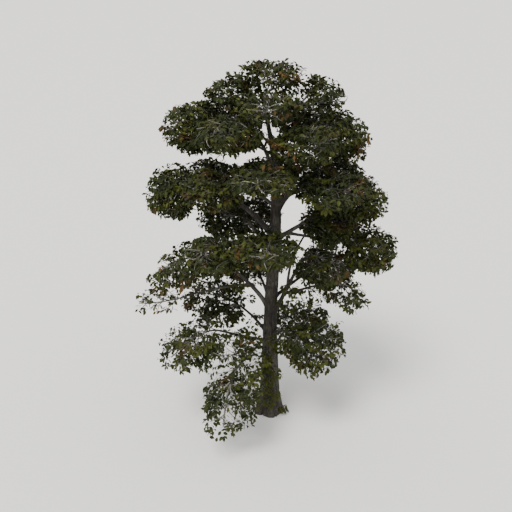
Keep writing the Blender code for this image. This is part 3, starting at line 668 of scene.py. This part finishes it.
def best_root(wood, ways, tip):
    """Place on the wood that sees a tip ahead and to the side at about 45 degrees, and near."""
    span = tip - wood
    forward = np.einsum("pi,pi->p", span, ways)
    away = np.linalg.norm(span, axis=1)
    sideways = np.sqrt(np.maximum(away ** 2 - forward ** 2, 0.0))
    return int(np.argmin(np.abs(forward - sideways) + NEARNESS * away))


def grow_twigs(number, name, stem, turn):
    """Twigs from a mass's stem in even directions, and a few that arch up and over: each reaches
    as far out as the mass's own space and the limbs allow, in a few tries."""
    middle, axes, halves = mass_frame(name)
    stem_ways = unit(np.gradient(stem, axis=0))
    reaches = np.linspace(TWIG_REACH, TWIG_LEAST_REACH, TWIG_TRIES)
    rows = [(aim, reaches, 0.0) for aim in aims(TWIGS_PER_MASS, turn, TWIG_BACK_LIMIT)[0]]
    rows += [(np.array(aim), np.array([TOP_TWIG_REACH]), 1.0) for aim in TOP_TWIGS]
    twigs = []
    for aim, shares, lift in rows:
        tips = middle + (aim * shares[:, None] * halves) @ axes
        fits = belong(tips, number, SPACE_MARGIN) & clear_of_limbs(tips, WOOD_ROOM)
        if fits.any():
            tip = tips[np.argmax(fits)]
            root = best_root(stem, stem_ways, tip)
            way = unit(stem_ways[root] + lift * axes[2])
            twigs.append(arc(stem[root], way, tip, TWIG_BEND, TWIG_POINTS))
    return twigs


def spray_tips(number, name, draws):
    """Ends of a mass's sprays: even directions from its middle, at depths that step through its
    volume without falling into rows, drawn in where slow waves notch its outline. The low masses
    have fewer of them, spread wider."""
    middle, axes, halves = mass_frame(name)
    loose = name.startswith(LOOSE_MASSES)
    spread = LOOSE_SPREAD if loose else 1.0
    density = SPRAYS_PER_CUBIC_METRE * (LOOSE_SHARE if loose else 1.0)
    count = int(density * 4.0 / 3.0 * math.pi * halves.prod())
    fills = FILL_PACE * (np.arange(count) * FILL_STEP + draws.random()) % 1.0
    depths = (LEAST_FILL + fills) ** (1 / 3)
    directions, turns = aims(count, draws.uniform(0.0, 360.0), SPRAY_BACK_LIMIT)
    round_wave = np.sin(LOBES_ROUND * turns + draws.uniform(*LOBE_SHIFT))
    along_wave = np.sin(LOBES_ALONG * directions[:, 0] + draws.uniform(*LOBE_SHIFT))
    depths *= (1.0 - LOBE_DEPTH * (1.0 + round_wave * along_wave)) * spread
    tips = middle + (directions * depths[:, None] * halves) @ axes
    return tips[belong(tips, number, 0.0, spread) & clear_of_limbs(tips, WOOD_ROOM)]


def grow_mass(number, name):
    """A mass's stem and twigs, and its sprays' stalks, starts and ways: each stalk leaves the
    nearest fitting wood, and its spray runs on to its tip, leaning forward and down a little."""
    draws = np.random.default_rng(number)
    stem, stem_radii = stem_line(name)
    twigs = grow_twigs(number, name, stem, draws.uniform(0.0, 360.0))
    wood = np.vstack([stem] + twigs)
    ways = np.vstack([unit(np.gradient(line, axis=0)) for line in [stem] + twigs])
    stalks = []
    starts = []
    headings = []
    for tip in spray_tips(number, name, draws):
        root = best_root(wood, ways, tip)
        span = tip - wood[root]
        reach = min(SPRAY_LENGTH, (1.0 - STALK_LEAST_SHARE) * np.linalg.norm(span))
        outward = unit(unit(span) + STALK_FORWARD * ways[root] + np.array([0.0, 0.0, -STALK_SINK]))
        start = tip - outward * reach
        stalks.append(arc(wood[root], ways[root], start, STALK_BEND, STALK_POINTS))
        starts.append(start)
        headings.append(outward)
    return stem, stem_radii, np.array(twigs), np.array(stalks), np.array(starts), np.array(headings)


def wood_piece(name, lines, radii, sides, material):
    """One piece of closed tubes along lines, in bark, with one radius at each point of a line."""
    spread = np.broadcast_to(radii, lines.shape[:2])[..., None]
    corners, triangles = tubes(lines, spread, sides)
    piece = mesh_object(name, corners, triangles, True)
    piece.data.materials.append(material)
    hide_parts(*MASSES)
    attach(piece, "root")


grown = [grow_mass(number, name) for number, name in enumerate(MASSES)]
stem_lines, stem_radii, twig_lines, stalk_lines, spray_starts, spray_ways = zip(*grown)
twig_radii = np.linspace(TWIG_ROOT_RADIUS, TWIG_TIP_RADIUS, TWIG_POINTS)
stalk_radii = np.linspace(STALK_RADIUS, SHOOT_RADIUS, STALK_POINTS)
twig_bark = bark_material("twig_bark", TWIG_BARK_MIDDLE, TWIG_BARK_PALE, TWIG_GRAIN, TWIG_GRAIN_DEPTH)
wood_piece("stems", np.array(stem_lines), np.array(stem_radii), STEM_SIDES, limb_bark)
wood_piece("twigs", np.concatenate(twig_lines), twig_radii, TWIG_SIDES, twig_bark)
wood_piece("spray_stalks", np.concatenate(stalk_lines), stalk_radii, STALK_SIDES, twig_bark)


# The sprays: flat leafy shoots that fan out from the twig ends in layers and hang a little, each
# with side shoots by turns left and right, and leaves by turns along them and in a tuft at each end.
SPRAY_KINDS = 10
SPRAY_KINDS_SEED = 501
SPRAY_SEED = 1000
SPRAY_ARCH = 0.02
SPRAY_HANG = 0.05
SPRAY_ROLL = (-28.0, 28.0)
SPRAY_SIZE = (0.85, 1.1)
SIDE_SHOOTS = 6
SIDE_SHOOT_FIRST = 0.6
SIDE_SHOOT_LENGTH = 0.36
SIDE_SHOOT_TAPER = 0.5
SIDE_SHOOT_SPREAD = (0.8, 1.2)
SIDE_SHOOT_TURN = (36.0, 62.0)
SIDE_SHOOT_RISE = (-14.0, 8.0)
SIDE_SHOOT_DROP = 0.03
SIDE_SHOOT_ARCH = 0.015
SHOOT_POINTS = 3
SHOOT_SIDES = 3
SHOOT_TIP_RADIUS = 0.003
LEAF_LENGTH = (0.145, 0.205)
LEAF_PLACES = ((0.35, 1.0), (0.65, -1.0))
LEAF_TURN = (45.0, 70.0)
LEAF_DIP = (-65.0, 10.0)
LEAF_ROLL = math.radians(55.0)
LEAF_BODY = 0.6
TUFT_TURNS = (0.0, 48.0, -48.0)
TUFT_TWIST = (-10.0, 10.0)
RAGGED_EDGE = (0.80, 1.06)
LOOSE_EDGE = (0.85, 1.25)
LEAF_OVERLAP = 0.04
SHOOT_OVERLAP = 0.05
LEAF_ROOM = 0.03
TINT_NAMES = ("deep_green", "olive_green", "moss_green", "fresh_green", "autumn_orange", "autumn_brown")
TINT_SHARES = (0.26, 0.25, 0.25, 0.18, 0.028, 0.032)


def leaf_ways(shoot_way, turns, draws):
    """Directions of leaves that turn off a shoot by angles in its flat plane, and dip a little."""
    base = math.degrees(math.atan2(shoot_way[1], shoot_way[0]))
    return [heading(base + turn, draws.uniform(*LEAF_DIP)) for turn in turns]


def spray_pattern(draws):
    """One flat spray along +X with +Z above it: its shoots, each of three points, and its leaves'
    roots, ways, lengths and rolls. Side shoots shorten and drop a little towards its end."""
    ahead = np.array([1.0, 0.0, 0.0])
    axis = np.array([[0.0, 0.0, 0.0], [0.5, 0.0, SPRAY_ARCH], [1.0, 0.0, -SPRAY_HANG]]) * SPRAY_LENGTH
    shoots = [axis]
    roots = []
    ways = []
    for number in range(SIDE_SHOOTS):
        along = (number + SIDE_SHOOT_FIRST) / SIDE_SHOOTS
        side = 1.0 if number % 2 else -1.0
        foot = np.array([along * SPRAY_LENGTH, 0.0, -SIDE_SHOOT_DROP * along])
        turn = side * draws.uniform(*SIDE_SHOOT_TURN)
        length = SIDE_SHOOT_LENGTH * (1.0 - SIDE_SHOOT_TAPER * along) * draws.uniform(*SIDE_SHOOT_SPREAD)
        way = heading(turn, draws.uniform(*SIDE_SHOOT_RISE))
        end = foot + way * length
        shoots.append(np.array([foot, (foot + end) / 2 + [0.0, 0.0, SIDE_SHOOT_ARCH], end]))
        for place, leaf_side in LEAF_PLACES:
            roots.append(foot + way * length * place)
            ways += leaf_ways(way, [leaf_side * draws.uniform(*LEAF_TURN)], draws)
        roots += [end] * len(TUFT_TURNS)
        ways += leaf_ways(way, np.array(TUFT_TURNS) + draws.uniform(*TUFT_TWIST), draws)
    roots += [axis[-1]] * len(TUFT_TURNS)
    ways += leaf_ways(ahead, TUFT_TURNS, draws)
    lengths = draws.uniform(*LEAF_LENGTH, len(roots))
    rolls = draws.uniform(-LEAF_ROLL, LEAF_ROLL, len(roots))
    return np.array(shoots), np.array(roots), np.array(ways), lengths, rolls


def laid_spray(pattern, start, outward, roll, scale):
    """A pattern's shoots, leaf roots and leaf ways once it is scaled or mirrored, pointed outward
    from a start and rolled about its own length."""
    shoots, roots, ways = pattern[:3]
    level = unit(np.cross([0.0, 0.0, 1.0], outward))
    across = level * math.cos(roll) + np.cross(outward, level) * math.sin(roll)
    axes = np.array([outward, across, np.cross(outward, across)])
    return start + (shoots * scale) @ axes, start + (roots * scale) @ axes, (ways * np.sign(scale)) @ axes


kinds_draws = np.random.default_rng(SPRAY_KINDS_SEED)
patterns = [spray_pattern(kinds_draws) for _ in range(SPRAY_KINDS)]
shoot_lines = []
leaf_rows = []
for number, name in enumerate(MASSES):
    draws = np.random.default_rng(SPRAY_SEED + number)
    edges = LOOSE_EDGE if name.startswith(LOOSE_MASSES) else RAGGED_EDGE
    for start, outward in zip(spray_starts[number], spray_ways[number]):
        pattern = patterns[draws.integers(SPRAY_KINDS)]
        roll = math.radians(draws.uniform(*SPRAY_ROLL))
        size = draws.uniform(*SPRAY_SIZE)
        mirror = np.array([1.0, draws.choice([-1.0, 1.0]), 1.0])
        tint = draws.choice(len(TINT_NAMES), p=TINT_SHARES)
        edge = draws.uniform(*edges)
        shoots, roots, ways = laid_spray(pattern, start, outward, roll, mirror * size)
        lengths, rolls = pattern[3:]
        bodies = roots + ways * lengths[:, None] * LEAF_BODY
        tips = roots + ways * lengths[:, None] * size
        kept = belong(bodies, number, -LEAF_OVERLAP, edge) & within_reach(tips)
        kept &= clear_of_limbs(bodies, LEAF_ROOM)
        held = belong(shoots[:, -1], number, -SHOOT_OVERLAP, edge) & within_reach(shoots[:, -1])
        tints = np.full(kept.sum(), tint)
        leaf_rows.append((roots[kept], ways[kept], lengths[kept] * size, rolls[kept], tints))
        shoot_lines.append(shoots[held])


# The shoots on the wood: small leafy sprays that sprout straight from the bark of the lower trunk
# and from both sides of the lower boughs, and hang down.

# A row gives a shoot's bearing in degrees, its height on the trunk, and its size.
TRUNK_SHOOTS = ((262, 2.75, 0.60), (246, 2.35, 0.55), (285, 2.10, 0.60), (268, 1.75, 0.55), (252, 1.40, 0.60),
                (290, 1.15, 0.50), (272, 0.85, 0.55), (335, 0.34, 0.40), (300, 2.95, 0.55), (225, 1.95, 0.50))
TRUNK_SHOOT_DEPTH = 0.93
BOUGH_SHOOTS = ("bough_lower_left", "bough_lower_left_back", "bough_lower_right", "bough_low_left",
                "bough_lower_right_outer", "bough_low_right", "bough_skirt_front")
BOUGH_SHOOT_PLACES = ((0.45, -65.0), (0.60, 65.0), (0.75, -65.0), (0.90, 65.0))
BOUGH_SHOOT_SIZE = 0.85
WOOD_SHOOT_SEED = 900
WOOD_SHOOT_FALL = -25.0
WOOD_SHOOT_SWING = (-25.0, 25.0)
WOOD_SHOOT_LEAF_SIZE = 0.9
WOOD_SHOOT_LEAF_ROOM = 0.01
WOOD_SHOOT_TINT = TINT_NAMES.index("fresh_green")

wood_shoots = []
for bearing, height, size in TRUNK_SHOOTS:
    depth = trunk_radii(np.array(height)) * TRUNK_SHOOT_DEPTH
    wood_shoots.append((trunk_centres(np.array(height)) + heading(bearing, 0.0) * depth, bearing, size))
for name in BOUGH_SHOOTS:
    line = bough_line(name)[0]
    for place, turn in BOUGH_SHOOT_PLACES:
        root = line[int(place * (LIMB_POINTS - 1))]
        wood_shoots.append((root, bearing_of(line[-1] - line[0]) + turn, BOUGH_SHOOT_SIZE))

draws = np.random.default_rng(WOOD_SHOOT_SEED)
for start, bearing, size in wood_shoots:
    pattern = patterns[draws.integers(SPRAY_KINDS)]
    outward = heading(bearing + draws.uniform(*WOOD_SHOOT_SWING), WOOD_SHOOT_FALL)
    shoots, roots, ways = laid_spray(pattern, start, outward, 0.0, size)
    lengths, rolls = pattern[3:]
    kept = within_reach(roots + ways * lengths[:, None]) & clear_of_limbs(roots, WOOD_SHOOT_LEAF_ROOM)
    tints = np.full(kept.sum(), WOOD_SHOOT_TINT)
    leaf_rows.append((roots[kept], ways[kept], lengths[kept] * WOOD_SHOOT_LEAF_SIZE, rolls[kept], tints))
    shoot_lines.append(shoots[within_reach(shoots[:, -1])])

shoot_radii = np.linspace(SHOOT_RADIUS, SHOOT_TIP_RADIUS, SHOOT_POINTS)
wood_piece("spray_shoots", np.concatenate(shoot_lines), shoot_radii, SHOOT_SIDES, twig_bark)


# The leaves: mostly oval, some like a mitten with one side lobe and some with three lobes, on a
# short stalk, folded a little along the midrib. Each spray has one tint, a few of them autumn's.

# Half outlines of a leaf a metre long, and its stalk: each point is along the midrib, then out.
OVAL_SIDE = ((0.0, 0.0), (0.17, 0.20), (0.46, 0.30), (0.78, 0.19), (1.0, 0.0))
LOBED_SIDE = ((0.0, 0.0), (0.24, 0.12), (0.62, 0.40), (0.60, 0.17), (0.82, 0.15), (1.0, 0.0))
LEAF_STALK = ((-0.16, 0.0), (0.0, 0.012), (0.0, -0.012))
LEAF_MIDDLE = 0.42
LEAF_FOLD = 0.35
LEAF_SAG = 0.16
SHAPE_SHARES = (0.60, 0.22, 0.18)
SHAPE_SEED = 77
LEAF_GLOSS = 0.22
LEAF_ROUGHNESS = (0.48, 0.72)
LEAF_SHADES = (0.65, 1.45)
LEAF_COLOURS = {"deep_green": (0.014, 0.021, 0.003), "olive_green": (0.029, 0.034, 0.004),
                "moss_green": (0.020, 0.028, 0.004), "fresh_green": (0.042, 0.050, 0.006),
                "autumn_orange": (0.066, 0.037, 0.008), "autumn_brown": (0.046, 0.029, 0.008)}


def leaf_shape(left, right):
    """Corners and triangles of a leaf a metre long: a fan from its midrib out to its outline, and a
    stalk that starts at the origin. It rises from the midrib with its breadth and sags towards
    its tip with the square of its length."""
    outline = list(left) + [(x, -y) for x, y in right[-2:0:-1]]
    flat = np.array([(LEAF_MIDDLE, 0.0)] + outline + list(LEAF_STALK))
    lift = LEAF_FOLD * np.abs(flat[:, 1]) - LEAF_SAG * flat[:, 0] ** 2
    corners = np.column_stack([flat[:, 0] - LEAF_STALK[0][0], flat[:, 1], lift])
    rim = np.arange(len(outline))
    fan = np.stack([np.zeros(len(rim), int), (rim + 1) % len(rim) + 1, rim + 1], axis=1)
    stalk = len(outline) + 1 + np.array([[0, 2, 1]])
    return corners, np.vstack([fan, stalk])


def leaf_material(name, colour):
    """A leaf's tint, uneven from leaf to leaf and over each blade, with a faint waxy gloss."""
    material, tree, shader = plain_material(name, colour, LEAF_ROUGHNESS[1])
    shader.inputs["Specular IOR Level"].default_value = LEAF_GLOSS
    place = tree.nodes.new("ShaderNodeTexCoord")
    mottle = tree.nodes.new("ShaderNodeTexNoise")
    mottle.inputs["Scale"].default_value = 9.0
    mottle.inputs["Detail"].default_value = 3.0
    tree.links.new(place.outputs["Object"], mottle.inputs["Vector"])
    spread = tree.nodes.new("ShaderNodeMapRange")
    spread.inputs["From Min"].default_value = 0.3
    spread.inputs["From Max"].default_value = 0.7
    tree.links.new(mottle.outputs["Fac"], spread.inputs["Value"])
    blend = tree.nodes.new("ShaderNodeMix")
    blend.data_type = "RGBA"
    for socket, shade in zip("AB", LEAF_SHADES):
        blend.inputs[socket].default_value = (*(channel * shade for channel in colour), 1.0)
    tree.links.new(spread.outputs["Result"], blend.inputs["Factor"])
    tree.links.new(blend.outputs["Result"], shader.inputs["Base Color"])
    gloss = tree.nodes.new("ShaderNodeMapRange")
    gloss.inputs["To Min"].default_value, gloss.inputs["To Max"].default_value = LEAF_ROUGHNESS
    tree.links.new(mottle.outputs["Fac"], gloss.inputs["Value"])
    tree.links.new(gloss.outputs["Result"], shader.inputs["Roughness"])
    return material


def leaf_corners(shape, roots, ways, lengths, rolls):
    """Corners of every leaf of one shape: the shape scaled to the leaf's length, pointed along its
    way from its root, and rolled about its midrib."""
    level = unit(np.cross(np.array([0.0, 0.0, 1.0]), ways))
    rolls = rolls[:, None]
    across = level * np.cos(rolls) + np.cross(ways, level) * np.sin(rolls)
    axes = np.stack([ways, across, np.cross(ways, across)], axis=1)
    return roots[:, None, :] + np.einsum("ci,nij->ncj", shape, axes) * lengths[:, None, None]


sides = ((OVAL_SIDE, OVAL_SIDE), (LOBED_SIDE, OVAL_SIDE), (LOBED_SIDE, LOBED_SIDE))
shapes = [leaf_shape(left, right) for left, right in sides]
roots, ways, lengths, rolls, tints = (np.concatenate(column) for column in zip(*leaf_rows))
kinds = np.random.default_rng(SHAPE_SEED).choice(len(shapes), len(roots), p=SHAPE_SHARES)

for tint, tint_name in enumerate(TINT_NAMES):
    corner_sets = []
    triangle_sets = []
    used = 0
    for kind, (shape, fan) in enumerate(shapes):
        chosen = (tints == tint) & (kinds == kind)
        corners = leaf_corners(shape, roots[chosen], ways[chosen], lengths[chosen], rolls[chosen])
        triangles = fan[None] + used + np.arange(len(corners))[:, None, None] * len(shape)
        corner_sets.append(corners.reshape(-1, 3))
        triangle_sets.append(triangles.reshape(-1, 3))
        used += len(corners) * len(shape)
    leaves = mesh_object("leaves_" + tint_name, np.vstack(corner_sets), np.vstack(triangle_sets), False)
    leaves.data.materials.append(leaf_material("leaf_" + tint_name, LEAF_COLOURS[tint_name]))
    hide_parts(*MASSES)
    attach(leaves, "root")
